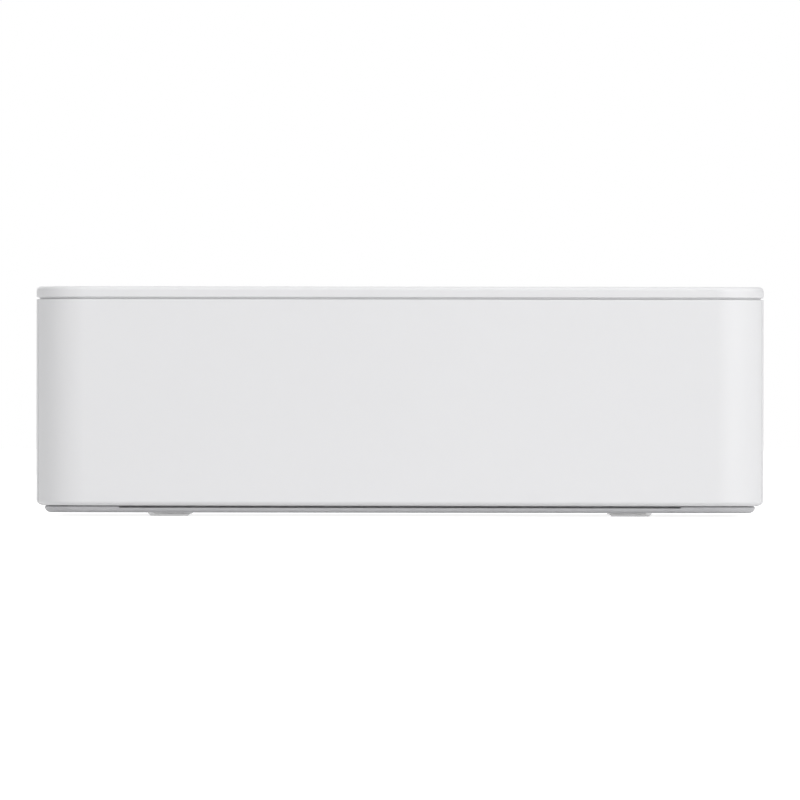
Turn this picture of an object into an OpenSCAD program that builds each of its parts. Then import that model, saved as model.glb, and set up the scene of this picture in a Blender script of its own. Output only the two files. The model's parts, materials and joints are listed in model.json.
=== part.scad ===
// Compact photo printer: a low white box with a hinged front cover over the
// paper bay, a hinged side cover over the ink cassette, a flush screen and
// push buttons in the top plate, and a roller, gear and thermal head drive
// inside.
// Origin: centre of the footprint on the table. +X is right as seen from the
// front, +Y is to the back, +Z is up. Sizes are millimetres and degrees.
// Points given as [y, z] lie in the plane across the rollers.

/* [Body] */
// Width of the body, side to side
body_w = 182.2; // [182:0.1:184]
// Depth of the body, front to back
body_d = 133; // [133:0.1:134.5]
// Height from the table to the top plate
body_h = 57.6; // [57.6:0.1:58.4]
// Radius of the upright corners in plan
corner_r = 12; // [11.6:0.1:12.4]
// Wall thickness of the outer shells
wall = 2.1; // [2:0.05:2.2]
// Thickness of the top plate
top_t = 2.7; // [2.6:0.1:2.9]
// Height of the shadow groove under the top plate
groove_h = 0.5; // [0.5:0.05:0.6]
// Round along the top plate's upper edge
top_edge_r = 1.1; // [0.8:0.1:1.3]
// Height of the round along the shell's lower edge
lower_edge_h = 1.2; // [1:0.1:1.3]
// Width of that round under the shell
lower_edge_w = 1.9; // [1.6:0.1:1.9]

/* [Base and feet] */
// How far the base stands in from the shell
base_inset = 2.1; // [2:0.1:2.4]
// Height of the rubber feet
foot_h = 1; // [0.9:0.05:1.1]
// Diameter of the rubber feet
foot_d = 11; // [9:0.5:13]
// Width of the finger gap under the front cover
finger_gap_w = 140.5; // [130:0.5:146]

/* [Screen and buttons] */
// Width of the screen window
screen_w = 82; // [78:0.5:84]
// Depth of the screen window
screen_d = 60; // [56:0.5:62]
// Travel of the push buttons
button_travel = 0.6; // [0.4:0.1:0.7]
// Diameter of the direction pad
pad_d = 27; // [24:0.5:28]

/* [Rollers and gears] */
// Radius of the rubber platen
platen_r = 4.4; // [4.2:0.1:4.5]
// Radius of the steel roller shafts
shaft_r = 2; // [1.9:0.05:2]
// Gear module, the pitch diameter over the number of teeth
gear_m = 1; // [1:1:1]
// Angle that the thermal head is lifted by at rest
head_lift = 4.5; // [4:0.1:4.6]
// Running clearance round a shaft
run_gap = 0.04; // [0.02:0.01:0.08]

/* [Hidden] */
$fn = 48;

white = [0.91, 0.91, 0.92];
pale_grey = [0.74, 0.74, 0.76];
dark_grey = [0.2, 0.2, 0.22];
black = [0.06, 0.06, 0.07];
steel = [0.7, 0.71, 0.73];
aluminium = [0.8, 0.81, 0.82];
gear_white = [0.86, 0.85, 0.8];
board_green = [0.08, 0.35, 0.2];
rubber_grey = [0.3, 0.3, 0.31];

edge_steps = 5;
join = 0.01;
cut = 1;

half_w = body_w / 2;
half_d = body_d / 2;
shell_gap = 0.2;
base_t = 1.55;
base_top = foot_h + base_t;
shell_z0 = base_top + shell_gap;
top_z0 = body_h - top_t;
shell_z1 = top_z0 - groove_h;
neck_inset = wall + 0.2;
neck_t = 2;
neck_z0 = shell_z1 - 2;
shelf_z0 = neck_z0 - 2;
upper_edge_r = 0.25;
lip_t = 0.6;
lip_h = 0.45;
rim_z1 = 7;

// Front cover
cover_back_y = 8.2 - half_d;
seam = 0.3;
hinge_y = 1.7 - half_d;
hinge_z = shell_z0 + 2;
pin_r = 0.5;
ear_r = 0.95;
ear_w = 1.6;
ear_x = 52;
boss_r = 1.6;
boss_w = 4;
cover_skin = 0.6;
frame_y0 = 4.3 - half_d;
frame_t = 2;
frame_w = 166;
bay_w = 119;
bay_z0 = 6.5;
bay_z1 = 34;

// Ink cover, hinged along Y at its lower edge
ink_y0 = 0;
ink_y1 = 54.2;
ink_z0 = 15.2;
ink_z1 = 44.8;
ink_low_gap = 0.45;
ink_gap = 0.25;
ink_hinge_x = half_w - 1.6;
ink_hinge_z = ink_z0 + 1.8;
ink_boss_r = 1.5;
ink_ear_y = [9, 45];

// Rollers, [y, z]
paper_z = 20;
platen_at = [28, paper_z - platen_r];
platen_len = 104;
feed_at = [platen_at[0] - 32, platen_at[1]];
idler_at = [platen_at[0] - 16, platen_at[1]];
drive_teeth = 16;
reduction_teeth = 22;
motor_teeth = 10;
pickup_teeth = 22;
take_up_idler_teeth = 12;
take_up_teeth = 16;
cam_teeth = 20;
pickup_step = (drive_teeth + pickup_teeth) * gear_m / 2;
pickup_at = [feed_at[0] - 17, feed_at[1] + sqrt(pickup_step * pickup_step - 17 * 17)];
pickup_r = 5.9;
motor_at = [idler_at[0], idler_at[1] + (reduction_teeth + motor_teeth) * gear_m / 2];
take_up_at = [43.5, 30];
supply_at = [11, 30.6];
pinch_r = 3;
pinch_at = [feed_at[0], paper_z + 0.35 + pinch_r];
cam_at = [-10, 39.35];
cam_r = 5;
cam_throw = 2.45;
lift_at = [cam_at[0] - (cam_teeth + motor_teeth) * gear_m / 2, cam_at[1]];
lever_at = [-2, 42.6];
head_pivot = [52.5, 45.6];

// Side plates and what stands outside the left one
plate_x = 61.2;
plate_t = 1.2;
plate_foot_x = 55.5;
plate_y0 = -34;
plate_y1 = 58;
plate_z1 = 50;
gear_w = 3;
gear_a_x = -66.2;
gear_b_x = -70;
bracket_x = -71.8;
motor_len = 15.2;
shaft_end_x = 63.2;
bush_r = 3.2;

// Ink cassette
supply_tube_r = 9.6;
take_up_tube_r = 8.8;
tube_t = 1;
tube_x = 58;
handle_x1 = 64;
ribbon_half = 52;
hub_r = 3.5;

// Screen and buttons
screen_x = -30;
screen_y = -8;
screen_t = 1.2;
screen_corner_r = 2;
button_x = 47;
button_y = -8;
button_top = body_h - 0.15;
button_gap = 0.2;
flange_z0 = 53.9;
flange_t = 0.8;
switch_z1 = flange_z0 - button_travel - 0.05;
board_t = 1.6;
button_board_z = 50.4;
ring_hole_d = 12.6;
ok_d = 11.6;
key_d = 9;
print_d = 12;
key_at = [[-17, 25], [17, 25], [-17, -25], [17, -25]];
post_at = [[83, -48], [-83, -48], [80, 58.5], [-80, 58.5]];
foot_at = [[58, -34], [-58, -34], [58, 46], [-58, 46]];
board_z = 5.6;
board_top = board_z + board_t;
jack_x = 44.5;
fan_at = [41, 28];
fan_size = 28;
fan_x = 2.5 - half_w;

// Outline, from the axis out, of a body with rounded lower and upper edges.
// The lower round is low[0] wide and low[1] high.
function edge_points(reach, z0, z1, low, high_r) =
    concat(
        [[0, z0]],
        [for (i = [0:edge_steps]) let (a = 90 * i / edge_steps)
            [reach - low[0] + low[0] * sin(a), z0 + low[1] - low[1] * cos(a)]],
        [for (i = [0:edge_steps]) let (a = 90 * i / edge_steps)
            [reach - high_r + high_r * cos(a), z1 - high_r + high_r * sin(a)]],
        [[0, z1]]
    );

// Where circles of radius ra round a and rb round b cross, on the rear side
function crossing(a, ra, b, rb) =
    let (
        d = norm(b - a),
        along = (ra * ra - rb * rb + d * d) / (2 * d),
        off = sqrt(ra * ra - along * along),
        u = (b - a) / d
    )
    a + u * along + [u[1], -u[0]] * off;

// Direction from one [y, z] point to another
function direction(a, b) = atan2(b[1] - a[1], b[0] - a[0]);

// Phase of a gear that meshes with one of the given teeth and phase
function mesh_phase(toward, phase, teeth, next_teeth) =
    toward + 180 - (0.5 - (toward - phase) * teeth / 360) * 360 / next_teeth;

// Involute angle in degrees at radius r on a base circle rb
function involute(r, rb) = r <= rb ? 0 : let (a = acos(rb / r)) tan(a) * 180 / PI - a;

take_up_idler_at = crossing(
    platen_at, (drive_teeth + take_up_idler_teeth) * gear_m / 2,
    take_up_at, (take_up_teeth + take_up_idler_teeth) * gear_m / 2
);

idler_phase = 0;
platen_phase = mesh_phase(direction(idler_at, platen_at), idler_phase, drive_teeth, drive_teeth);
feed_phase = mesh_phase(direction(idler_at, feed_at), idler_phase, drive_teeth, drive_teeth);
pickup_phase = mesh_phase(direction(feed_at, pickup_at), feed_phase, drive_teeth, pickup_teeth);
motor_phase = mesh_phase(direction(idler_at, motor_at), idler_phase, reduction_teeth, motor_teeth);
link_phase = mesh_phase(
    direction(platen_at, take_up_idler_at), platen_phase, drive_teeth, take_up_idler_teeth
);
take_up_phase = mesh_phase(
    direction(take_up_idler_at, take_up_at), link_phase, take_up_idler_teeth, take_up_teeth
);
lift_phase = mesh_phase(direction(cam_at, lift_at), 0, cam_teeth, motor_teeth);

// Outline of a gear with stub teeth
function gear_points(teeth, phase) =
    let (
        rp = teeth * gear_m / 2,
        rb = rp * cos(25),
        radii = [rp - 1.05 * gear_m, rp - 0.4 * gear_m, rp, rp + 0.4 * gear_m, rp + 0.78 * gear_m],
        half = 90 / teeth - 0.07 * 180 / (PI * rp)
    )
    [
        for (i = [0:teeth - 1])
            for (j = [0:9])
                let (
                    r = radii[j < 5 ? j : 9 - j],
                    swing = half + involute(rp, rb) - involute(r, rb),
                    a = phase + i * 360 / teeth + (j < 5 ? -swing : swing)
                )
                [r * cos(a), r * sin(a)]
    ];

// Block on the body's plan, drawn in by an inset, with rounded lower and upper edges
module soft_block(inset, z0, z1, low, high_r) {
    r = corner_r - inset;
    cx = half_w - corner_r;
    cy = half_d - corner_r;
    for (x = [-cx, cx], y = [-cy, cy])
        translate([x, y, 0])
            rotate_extrude($fn = 96)
                polygon(edge_points(r, z0, z1, low, high_r));
    for (s = [0, 1])
        mirror([0, s, 0])
            along_x(-cx, [0, 0])
                linear_extrude(2 * cx)
                    polygon(edge_points(cy + r, z0, z1, low, high_r));
    for (s = [0, 1])
        mirror([s, 0, 0])
            translate([0, cy, 0])
                rotate([90, 0, 0])
                    linear_extrude(2 * cy)
                        polygon(edge_points(cx + r, z0, z1, low, high_r));
}

// Upright prism on the body's plan
module plan_prism(inset, z0, z1) {
    r = corner_r - inset;
    cx = half_w - corner_r;
    cy = half_d - corner_r;
    for (x = [-cx, cx], y = [-cy, cy])
        translate([x, y, z0])
            cylinder(h = z1 - z0, r = r, $fn = 96);
    block([-cx, -cy - r, z0], [cx, cy + r, z1]);
    block([-cx - r, -cy, z0], [cx + r, cy, z1]);
}

// Box from its lowest to its highest corner
module block(low, high) {
    translate(low)
        cube(high - low);
}

// Puts what is drawn along +Z onto the X axis through [y, z], from x
module along_x(x, at) {
    translate([x, at[0], at[1]])
        rotate([90, 0, 90])
            children();
}

// Rod along X
module rod_x(x0, x1, at, r) {
    along_x(x0, at)
        cylinder(h = x1 - x0, r = r);
}

// Rod along Y through [x, z]
module rod_y(y0, y1, x, z, r) {
    translate([x, y0, z])
        rotate([-90, 0, 0])
            cylinder(h = y1 - y0, r = r);
}

// Gear on the X axis through [y, z]
module gear(x, at, teeth, phase, bore_r) {
    along_x(x, at)
        linear_extrude(gear_w)
            difference() {
                polygon(gear_points(teeth, phase));
                circle(r = bore_r);
            }
}

// Flat strip of thickness t through [y, z] points, as wide as the ribbon
module web(points, t) {
    n = len(points) - 1;
    along_x(-ribbon_half, [0, 0])
        linear_extrude(2 * ribbon_half)
            polygon(concat(points, [for (i = [0:n]) points[n - i] + [0, t]]));
}

// ---- Outer shells ----

module base_tray() {
    boss_z1 = 5.4;
    color(pale_grey)
        difference() {
            union() {
                soft_block(base_inset, foot_h, base_top, [1.5, 1.3], 0.1);
                difference() {
                    plan_prism(wall + 0.25, base_top - join, rim_z1);
                    plan_prism(wall + 2.25, 0, body_h);
                    block([-half_w, -half_d, 0], [half_w, cover_back_y + seam + 0.2, body_h]);
                }
                for (p = post_at)
                    translate([p[0], p[1], foot_h])
                        cylinder(h = boss_z1 - foot_h, r = 4.2);
                for (x = [-50, 52], y = [8, 56])
                    translate([x, y, foot_h])
                        cylinder(h = board_z - foot_h, r = 2.5);
                for (y = [-40, -16])
                    translate([69, y, foot_h])
                        cylinder(h = 29 - foot_h, r = 2.5);
            }
            for (p = post_at) {
                translate([p[0], p[1], 0])
                    cylinder(h = 3.4, r = 2.6);
                translate([p[0], p[1], 0])
                    cylinder(h = body_h, r = 1.3);
            }
            for (p = foot_at)
                translate([p[0], p[1], 0])
                    cylinder(h = foot_h + 0.5, d = foot_d + 0.2);
            block([-finger_gap_w / 2, -half_d, base_top - 0.35],
                [finger_gap_w / 2, 4 - half_d, body_h]);
            for (i = [-5:5])
                block([i * 7 - 1, 16, 0], [i * 7 + 1, 44, base_top + cut]);
        }
}

module rubber_feet() {
    color(pale_grey)
        for (p = foot_at)
            translate([p[0], p[1], 0])
                rotate_extrude()
                    polygon([
                        [0, 0], [foot_d / 2 - 0.8, 0], [foot_d / 2 - 0.2, 0.5],
                        [foot_d / 2, 1], [foot_d / 2, foot_h + 0.5], [0, foot_h + 0.5]
                    ]);
}

module base_screws() {
    color(steel)
        for (p = post_at)
            translate([p[0], p[1], 0])
                difference() {
                    union() {
                        translate([0, 0, 1.8])
                            cylinder(h = 1.6, r = 2.3);
                        translate([0, 0, 3.3])
                            cylinder(h = 9.5, r = 1.1);
                    }
                    for (a = [0, 90])
                        rotate([0, 0, a])
                            translate([-1.4, -0.3, 1.7])
                                cube([2.8, 0.6, 0.9]);
                }
}

module casing() {
    shell_low = [lower_edge_w, lower_edge_h];
    color(white)
        difference() {
            union() {
                difference() {
                    soft_block(0, shell_z0, shell_z1, shell_low, upper_edge_r);
                    plan_prism(wall, 0, body_h);
                }
                difference() {
                    plan_prism(wall - 0.1, shelf_z0, neck_z0);
                    plan_prism(wall + 3, 0, body_h);
                }
                intersection() {
                    union() {
                        for (p = post_at)
                            translate([p[0], p[1], 5.4])
                                cylinder(h = shelf_z0 - 5.3, r = 2.6);
                        for (p = post_at)
                            block([min(p[0], sign(p[0]) * half_w), p[1] - 0.6, 8],
                                [max(p[0], sign(p[0]) * half_w), p[1] + 0.6, shelf_z0 + 0.1]);
                    }
                    plan_prism(wall - 0.1, 0, body_h);
                }
                for (y = ink_ear_y) {
                    block([half_w - wall - 3, y - 0.8, 10], [half_w - wall + 0.1, y + 0.8, 14]);
                    block([half_w - wall - 3, y - 0.8, 10],
                        [half_w - wall - 1.6, y + 0.8, ink_hinge_z + 0.9]);
                    block([half_w - wall - 3, y - 0.8, ink_hinge_z - 0.9],
                        [ink_hinge_x, y + 0.8, ink_hinge_z + 0.9]);
                    rod_y(y - 0.8, y + 0.8, ink_hinge_x, ink_hinge_z, 0.9);
                }
            }
            for (p = post_at)
                translate([p[0], p[1], 0])
                    cylinder(h = 15, r = 1.1);
            block([-body_w, -body_d, 0], [body_w, cover_back_y + seam, body_h]);
            // Lower front corners drawn back from the cover's swing
            block([-body_w, -body_d, 0], [body_w, cover_back_y + seam + 0.2, shell_z0 + 3]);
            // Side opening for the ink cassette
            difference() {
                block([half_w - wall - 0.2, ink_y0 - ink_gap, ink_z0 - ink_low_gap],
                    [half_w + cut, ink_y1 + ink_gap, ink_z1 + ink_gap]);
                for (y = ink_ear_y) {
                    block([half_w - wall - 0.4, y - 0.8, ink_hinge_z - 0.9],
                        [ink_hinge_x, y + 0.8, ink_hinge_z + 0.9]);
                    rod_y(y - 0.8, y + 0.8, ink_hinge_x, ink_hinge_z, 0.9);
                }
            }
            for (y = ink_ear_y)
                rod_y(y - 1, y + 1, ink_hinge_x, ink_hinge_z, pin_r);
            // Finger notch above the ink cover
            rod_x(half_w - 0.9, half_w + cut, [(ink_y0 + ink_y1) / 2, ink_z1 + 0.2], 5);
            // Memory card slot and socket on the right side
            block([half_w - wall - cut, -41.5, 30.4], [half_w + cut, -14.5, 34]);
            block([half_w - wall - cut, -35.4, 22.6], [half_w + cut, -21.4, 29.4]);
            // Paper slot, power jack and vents in the back
            block([-54, half_d - wall - cut, 17.5], [54, half_d + cut, 24.5]);
            block([jack_x - 4.8, half_d - wall - cut, board_top - 0.2],
                [jack_x + 4.8, half_d + cut, board_top + 8.1]);
            for (i = [0:8])
                block([-70 + i * 5, half_d - wall - cut, 32], [-67.6 + i * 5, half_d + cut, 44]);
            for (i = [0:5])
                block([-half_w - cut, 30 + i * 4, 18], [-half_w + wall + cut, 32 + i * 4, 38]);
        }
}

module front_frame() {
    // Returns and flanges that close the sides behind the cover
    return_y1 = cover_back_y + 3.2;
    flange_y0 = return_y1 - 1.5;
    color(white)
        difference() {
            union() {
                block([-frame_w / 2, frame_y0, base_top], [frame_w / 2, frame_y0 + frame_t, neck_z0]);
                for (s = [0, 1])
                    mirror([s, 0, 0]) {
                        block([frame_w / 2 - 1.5, frame_y0 + 0.1, rim_z1 + 0.2],
                            [frame_w / 2, return_y1, shelf_z0 - 0.1]);
                        block([frame_w / 2 - 1, flange_y0, rim_z1 + 0.2],
                            [half_w - wall - 0.3, return_y1, shelf_z0 - 0.1]);
                        block([ear_x - ear_w / 2, hinge_y, hinge_z],
                            [ear_x + ear_w / 2, frame_y0 + 0.1, hinge_z + ear_r]);
                        rod_x(ear_x - ear_w / 2, ear_x + ear_w / 2, [hinge_y, hinge_z], ear_r);
                    }
            }
            block([-bay_w / 2, -half_d, bay_z0 + 1], [bay_w / 2, 0, bay_z1]);
            rod_x(-ear_x - 2, ear_x + 2, [hinge_y, hinge_z], pin_r);
        }
}

// Steel pins of both covers, tight in the ears and free in the covers
module hinge_pins() {
    color(steel) {
        for (s = [-1, 1])
            rod_x(s * ear_x - 3.4, s * ear_x + 3.4, [hinge_y, hinge_z], pin_r);
        for (y = ink_ear_y)
            rod_y(y - 3.4, y + 3.4, ink_hinge_x, ink_hinge_z, pin_r);
    }
}

module front_cover() {
    notch = ear_w / 2 + 0.25;
    color(white)
        difference() {
            union() {
                intersection() {
                    difference() {
                        soft_block(0, shell_z0, shell_z1, [lower_edge_w, lower_edge_h], upper_edge_r);
                        plan_prism(wall, 0, body_h);
                        plan_prism(lip_t, shell_z1 - lip_h, body_h);
                    }
                    along_x(-body_w, [0, 0])
                        linear_extrude(2 * body_w)
                            polygon([
                                [-body_d, 0], [cover_back_y - 0.6, 0], [cover_back_y - 0.6, shell_z0],
                                [cover_back_y, shell_z0 + 0.6], [cover_back_y, body_h], [-body_d, body_h]
                            ]);
                }
                for (s = [-1, 1], t = [-1, 1])
                    along_x(s * ear_x + t * (notch + boss_w / 2) - boss_w / 2, [hinge_y, hinge_z])
                        cylinder(h = boss_w, r = boss_r);
                // Stiffening ribs inside
                for (s = [-1, 1])
                    block([s * 70 - 0.6, wall - half_d - 0.1, shell_z0 + 6],
                        [s * 70 + 0.6, wall - half_d + 1.2, shell_z1 - 5]);
                block([-70, wall - half_d - 0.1, shell_z1 - 6.2],
                    [70, wall - half_d + 1.2, shell_z1 - 5]);
            }
            for (s = [-1, 1]) {
                block([s * ear_x - notch, cover_skin - half_d, hinge_z - ear_r - 0.25],
                    [s * ear_x + notch, 0, hinge_z + ear_r + 0.3]);
                block([s * ear_x - notch, hinge_y - 0.2, 0], [s * ear_x + notch, 0, hinge_z]);
            }
            for (s = [-1, 1])
                rod_x(s * ear_x - 3.6, s * ear_x + 3.6, [hinge_y, hinge_z], pin_r + run_gap);
        }
}

module ink_cover() {
    notch = 0.8 + 0.25;
    r = 1;
    color(white)
        difference() {
            union() {
                block([half_w - wall, ink_y0, ink_z0 + r], [half_w, ink_y1, ink_z1]);
                block([half_w - wall, ink_y0, ink_z0], [half_w - r, ink_y1, ink_z0 + r]);
                rod_y(ink_y0, ink_y1, half_w - r, ink_z0 + r, r);
                for (y = ink_ear_y, t = [-1, 1])
                    rod_y(y + t * (notch + 2) - 2, y + t * (notch + 2) + 2,
                        ink_hinge_x, ink_hinge_z, ink_boss_r);
                for (y = [4, 27, 50])
                    block([half_w - wall - 1, y - 0.6, ink_z0 + 6],
                        [half_w - wall + 0.1, y + 0.6, ink_z1 - 3]);
            }
            for (y = ink_ear_y)
                block([0, y - notch, 0], [half_w - cover_skin, y + notch, ink_hinge_z + 1.2]);
            for (y = ink_ear_y)
                rod_y(y - 3.6, y + 3.6, ink_hinge_x, ink_hinge_z, pin_r + run_gap);
        }
}

module top_plate() {
    color(white)
        difference() {
            union() {
                soft_block(0, top_z0, body_h, [0.2, 0.2], top_edge_r);
                // Neck, and the rim that stands at the back of the shadow groove
                difference() {
                    union() {
                        plan_prism(neck_inset, neck_z0, top_z0 + 0.4);
                        plan_prism(lip_t + 0.15, shell_z1 + 0.05, top_z0 + 0.4);
                    }
                    plan_prism(neck_inset + neck_t, 0, top_z0 - join);
                }
                // Bosses that carry the screen and the button board
                for (x = [screen_x - 43.5, screen_x + 43.5], y = [screen_y - 20, screen_y + 20])
                    translate([x, y, 52.6])
                        cylinder(h = 2.6, r = 2);
                for (x = [button_x - 20, button_x + 20], y = [button_y - 12, button_y + 12])
                    translate([x, y, button_board_z + board_t])
                        cylinder(h = top_z0 - button_board_z - board_t + 0.2, r = 1.8);
            }
            screen_slab(0.1, body_h + cut);
            block([screen_x - 39.3, screen_y - 28.3, top_z0 - cut],
                [screen_x + 39.3, screen_y + 28.3, body_h + cut]);
            for (i = [0:3])
                translate([button_x + key_at[i][0], button_y + key_at[i][1], top_z0 - cut])
                    cylinder(h = top_t + 2 * cut, d = (i == 3 ? print_d : key_d) + 2 * button_gap);
            translate([button_x, button_y, top_z0 - cut])
                cylinder(h = top_t + 2 * cut, d = pad_d + 2 * button_gap);
        }
}

// Slab on the screen window's outline, grown by a gap, with rounded corners
module screen_slab(gap, z1) {
    w = screen_w / 2 - screen_corner_r;
    d = screen_d / 2 - screen_corner_r;
    r = screen_corner_r + gap;
    translate([screen_x, screen_y, body_h - screen_t]) {
        for (x = [-w, w], y = [-d, d])
            translate([x, y, 0])
                cylinder(h = z1 - body_h + screen_t, r = r);
        block([-w - r, -d, 0], [w + r, d, z1 - body_h + screen_t]);
        block([-w, -d - r, 0], [w, d + r, z1 - body_h + screen_t]);
    }
}

module screen_window() {
    color(black)
        screen_slab(0, body_h);
}

module lcd_panel() {
    color(dark_grey) {
        block([screen_x - 39, screen_y - 28, 53.2],
            [screen_x + 39, screen_y + 28, body_h - screen_t]);
        block([screen_x - 46.5, screen_y - 24, 51.8], [screen_x + 46.5, screen_y + 24, 52.6]);
        block([screen_x - 39, screen_y - 24, 52.5], [screen_x + 39, screen_y + 24, 53.3]);
    }
}

module button_board() {
    color(board_green)
        block([button_x - 23, button_y - 32, button_board_z],
            [button_x + 23, button_y + 32, button_board_z + board_t]);
}

module tact_switches() {
    z0 = button_board_z + board_t;
    color(dark_grey)
        for (p = concat(key_at, [[0, 0], [9.6, 0], [-9.6, 0], [0, 9.6], [0, -9.6]]))
            translate([button_x + p[0], button_y + p[1], z0]) {
                translate([-1.5, -1.5, 0])
                    cube([3, 3, 0.7]);
                cylinder(h = switch_z1 - z0, r = 0.8);
            }
}

// Push button held under the top plate by a flange
module push_button(x, y, d) {
    translate([x, y, 0])
        difference() {
            union() {
                translate([0, 0, flange_z0])
                    cylinder(h = button_top - flange_z0 - 0.3, d = d);
                translate([0, 0, button_top - 0.3])
                    cylinder(h = 0.3, d1 = d, d2 = d - 0.6);
                translate([0, 0, flange_z0])
                    cylinder(h = flange_t, d = d + 1.6);
            }
            translate([0, 0, button_top + 37.8])
                sphere(r = 38, $fn = 96);
        }
}

module key_button(i) {
    color(white)
        push_button(button_x + key_at[i][0], button_y + key_at[i][1], i == 3 ? print_d : key_d);
}

module power_button() { key_button(0); }
module menu_button() { key_button(1); }
module back_button() { key_button(2); }
module print_button() { key_button(3); }

module direction_pad() {
    color(white)
        translate([button_x, button_y, 0])
            difference() {
                union() {
                    translate([0, 0, flange_z0])
                        cylinder(h = button_top - flange_z0 - 0.3, d = pad_d);
                    translate([0, 0, button_top - 0.3])
                        cylinder(h = 0.3, d1 = pad_d, d2 = pad_d - 0.6);
                    translate([0, 0, flange_z0])
                        cylinder(h = flange_t, d = pad_d + 1.6);
                }
                translate([0, 0, flange_z0 + 1.5])
                    cylinder(h = 10, d = ring_hole_d);
                translate([0, 0, flange_z0 - 1])
                    cylinder(h = 10, d = 5);
                for (a = [0:90:270])
                    rotate([0, 0, a])
                        translate([pad_d / 2 - 2.4, 0, button_top - 0.3])
                            cylinder(h = 1, r = 0.5);
            }
}

module ok_button() {
    color(white)
        translate([button_x, button_y, 0]) {
            translate([0, 0, flange_z0 + 2.2])
                cylinder(h = button_top - flange_z0 - 2.5, d = ok_d);
            translate([0, 0, button_top - 0.3])
                cylinder(h = 0.3, d1 = ok_d, d2 = ok_d - 0.6);
            translate([0, 0, flange_z0])
                cylinder(h = 2.3, d = 4);
        }
}

// ---- Inner frame ----

module cassette_guide() {
    x1 = bay_w / 2 + 1.5;
    y0 = frame_y0 + frame_t;
    color(dark_grey) {
        difference() {
            union() {
                block([-x1, y0, 5.8], [x1, -13, 7.5]);
                for (s = [0, 1])
                    mirror([s, 0, 0]) {
                        block([bay_w / 2, y0, 7.4], [x1, plate_y0, bay_z1 + 1.5]);
                        block([bay_w / 2, plate_y0 - 0.1, 7.4], [x1, -13, 19]);
                    }
                block([-x1, y0, bay_z1], [x1, plate_y0, bay_z1 + 1.5]);
                block([-x1, -14.5, 7.4], [x1, -13, 15.5]);
            }
            for (x = [-36:12:36])
                block([x - 1.5, -54, 5], [x + 1.5, -20, 8]);
        }
        for (x = [-48, 48], y = [-52, -20])
            translate([x, y, base_top])
                cylinder(h = 5.9 - base_top, r = 3);
    }
}

// Outline holes that both side plates carry
module plate_holes(x0, x1) {
    for (p = [platen_at, feed_at, pickup_at, cam_at])
        rod_x(x0, x1, p, bush_r);
    rod_x(x0, x1, head_pivot, 1.5);
}

module left_side_plate() {
    color(steel) {
        difference() {
            union() {
                block([-plate_x - plate_t, plate_y0, base_top], [-plate_x, plate_y1, plate_z1]);
                block([-plate_x - 0.1, plate_y0, base_top], [-plate_foot_x, plate_y1, base_top + plate_t]);
            }
            plate_holes(-plate_x - 2, -plate_x + 1);
            rod_x(-plate_x - 2, -plate_x + 1, take_up_at, 4.5);
            block([-plate_x - 2, -8, 26], [-plate_x + 1, 20, 34]);
        }
        // Studs of the idler gears
        for (p = [idler_at, take_up_idler_at])
            rod_x(gear_b_x - 0.4, -plate_x - 0.5, p, 1.5);
        // Stand-offs of the motor bracket
        for (p = [[plate_y0 + 3, 46], [31, 45], [31, 28]])
            rod_x(bracket_x + 1.2, -plate_x - 0.5, p, 2.2);
    }
}

module right_side_plate() {
    color(steel) {
        difference() {
            union() {
                block([plate_x, plate_y0, base_top], [plate_x + plate_t, plate_y1, plate_z1]);
                block([plate_foot_x, plate_y0, base_top], [plate_x + 0.1, plate_y1, base_top + plate_t]);
            }
            plate_holes(plate_x - 1, plate_x + 2);
            block([plate_x - 1, 0.6, 20.3], [plate_x + 2, 53.4, 40.9]);
        }
        // Headed stud of the eject lever
        rod_x(plate_x + 0.5, 67.2, lever_at, 1.5);
        rod_x(67.2, 67.8, lever_at, 2.4);
    }
}

module press_bar() {
    color(steel) {
        block([-plate_x, 20, 48.8], [plate_x, 36, 50]);
        for (s = [-1, 1])
            translate([s * 35, platen_at[0], 47])
                cylinder(h = 2, r = 1.4);
    }
}

module head_pivot_rod() {
    color(steel)
        rod_x(-plate_x - 1.8, plate_x + 1.8, head_pivot, 1.5);
}

// Flanged bearing bushes in the side plates
module shaft_bushes() {
    color(gear_white)
        for (p = [platen_at, feed_at, pickup_at, cam_at], s = [0, 1])
            difference() {
                mirror([s, 0, 0]) {
                    rod_x(plate_x - 0.6, plate_x + 1.7, p, bush_r);
                    rod_x(plate_x - 0.6, plate_x, p, bush_r + 0.7);
                }
                rod_x(-80, 80, p, shaft_r + run_gap);
            }
}

module lower_paper_guide() {
    z0 = paper_z - 1.7;
    z1 = paper_z - 0.6;
    color(dark_grey) {
        difference() {
            block([-plate_x, -12, z0], [plate_x, half_d - wall - 0.4, z1]);
            block([-53.5, feed_at[0] - 5, 0], [53.5, feed_at[0] + 5, body_h]);
            block([-53.5, platen_at[0] - 5, 0], [53.5, platen_at[0] + 5, body_h]);
            // Room round the bushes' flanges
            for (p = [feed_at, platen_at], s = [0, 1])
                mirror([s, 0, 0])
                    rod_x(plate_x - 0.9, plate_x + 1, p, bush_r + 1);
        }
        // Raised pads under the cassette's tubes
        for (s = [-1, 1], y = [supply_at[0], take_up_at[0]])
            block([s * 56.5 - 1.5, y - 5, z1 - 0.1], [s * 56.5 + 1.5, y + 5, 20.6]);
    }
}

module pinch_holder() {
    color(dark_grey)
        difference() {
            union() {
                block([-plate_x, pinch_at[0] - 4, 27.2], [plate_x, pinch_at[0] + 4, 29.2]);
                for (s = [-1, 1])
                    block([s * 53 - 1.2, pinch_at[0] - 3, 21.2], [s * 53 + 1.2, pinch_at[0] + 3, 27.3]);
            }
            rod_x(-60, 60, pinch_at, 1.2 + run_gap);
        }
}

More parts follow.
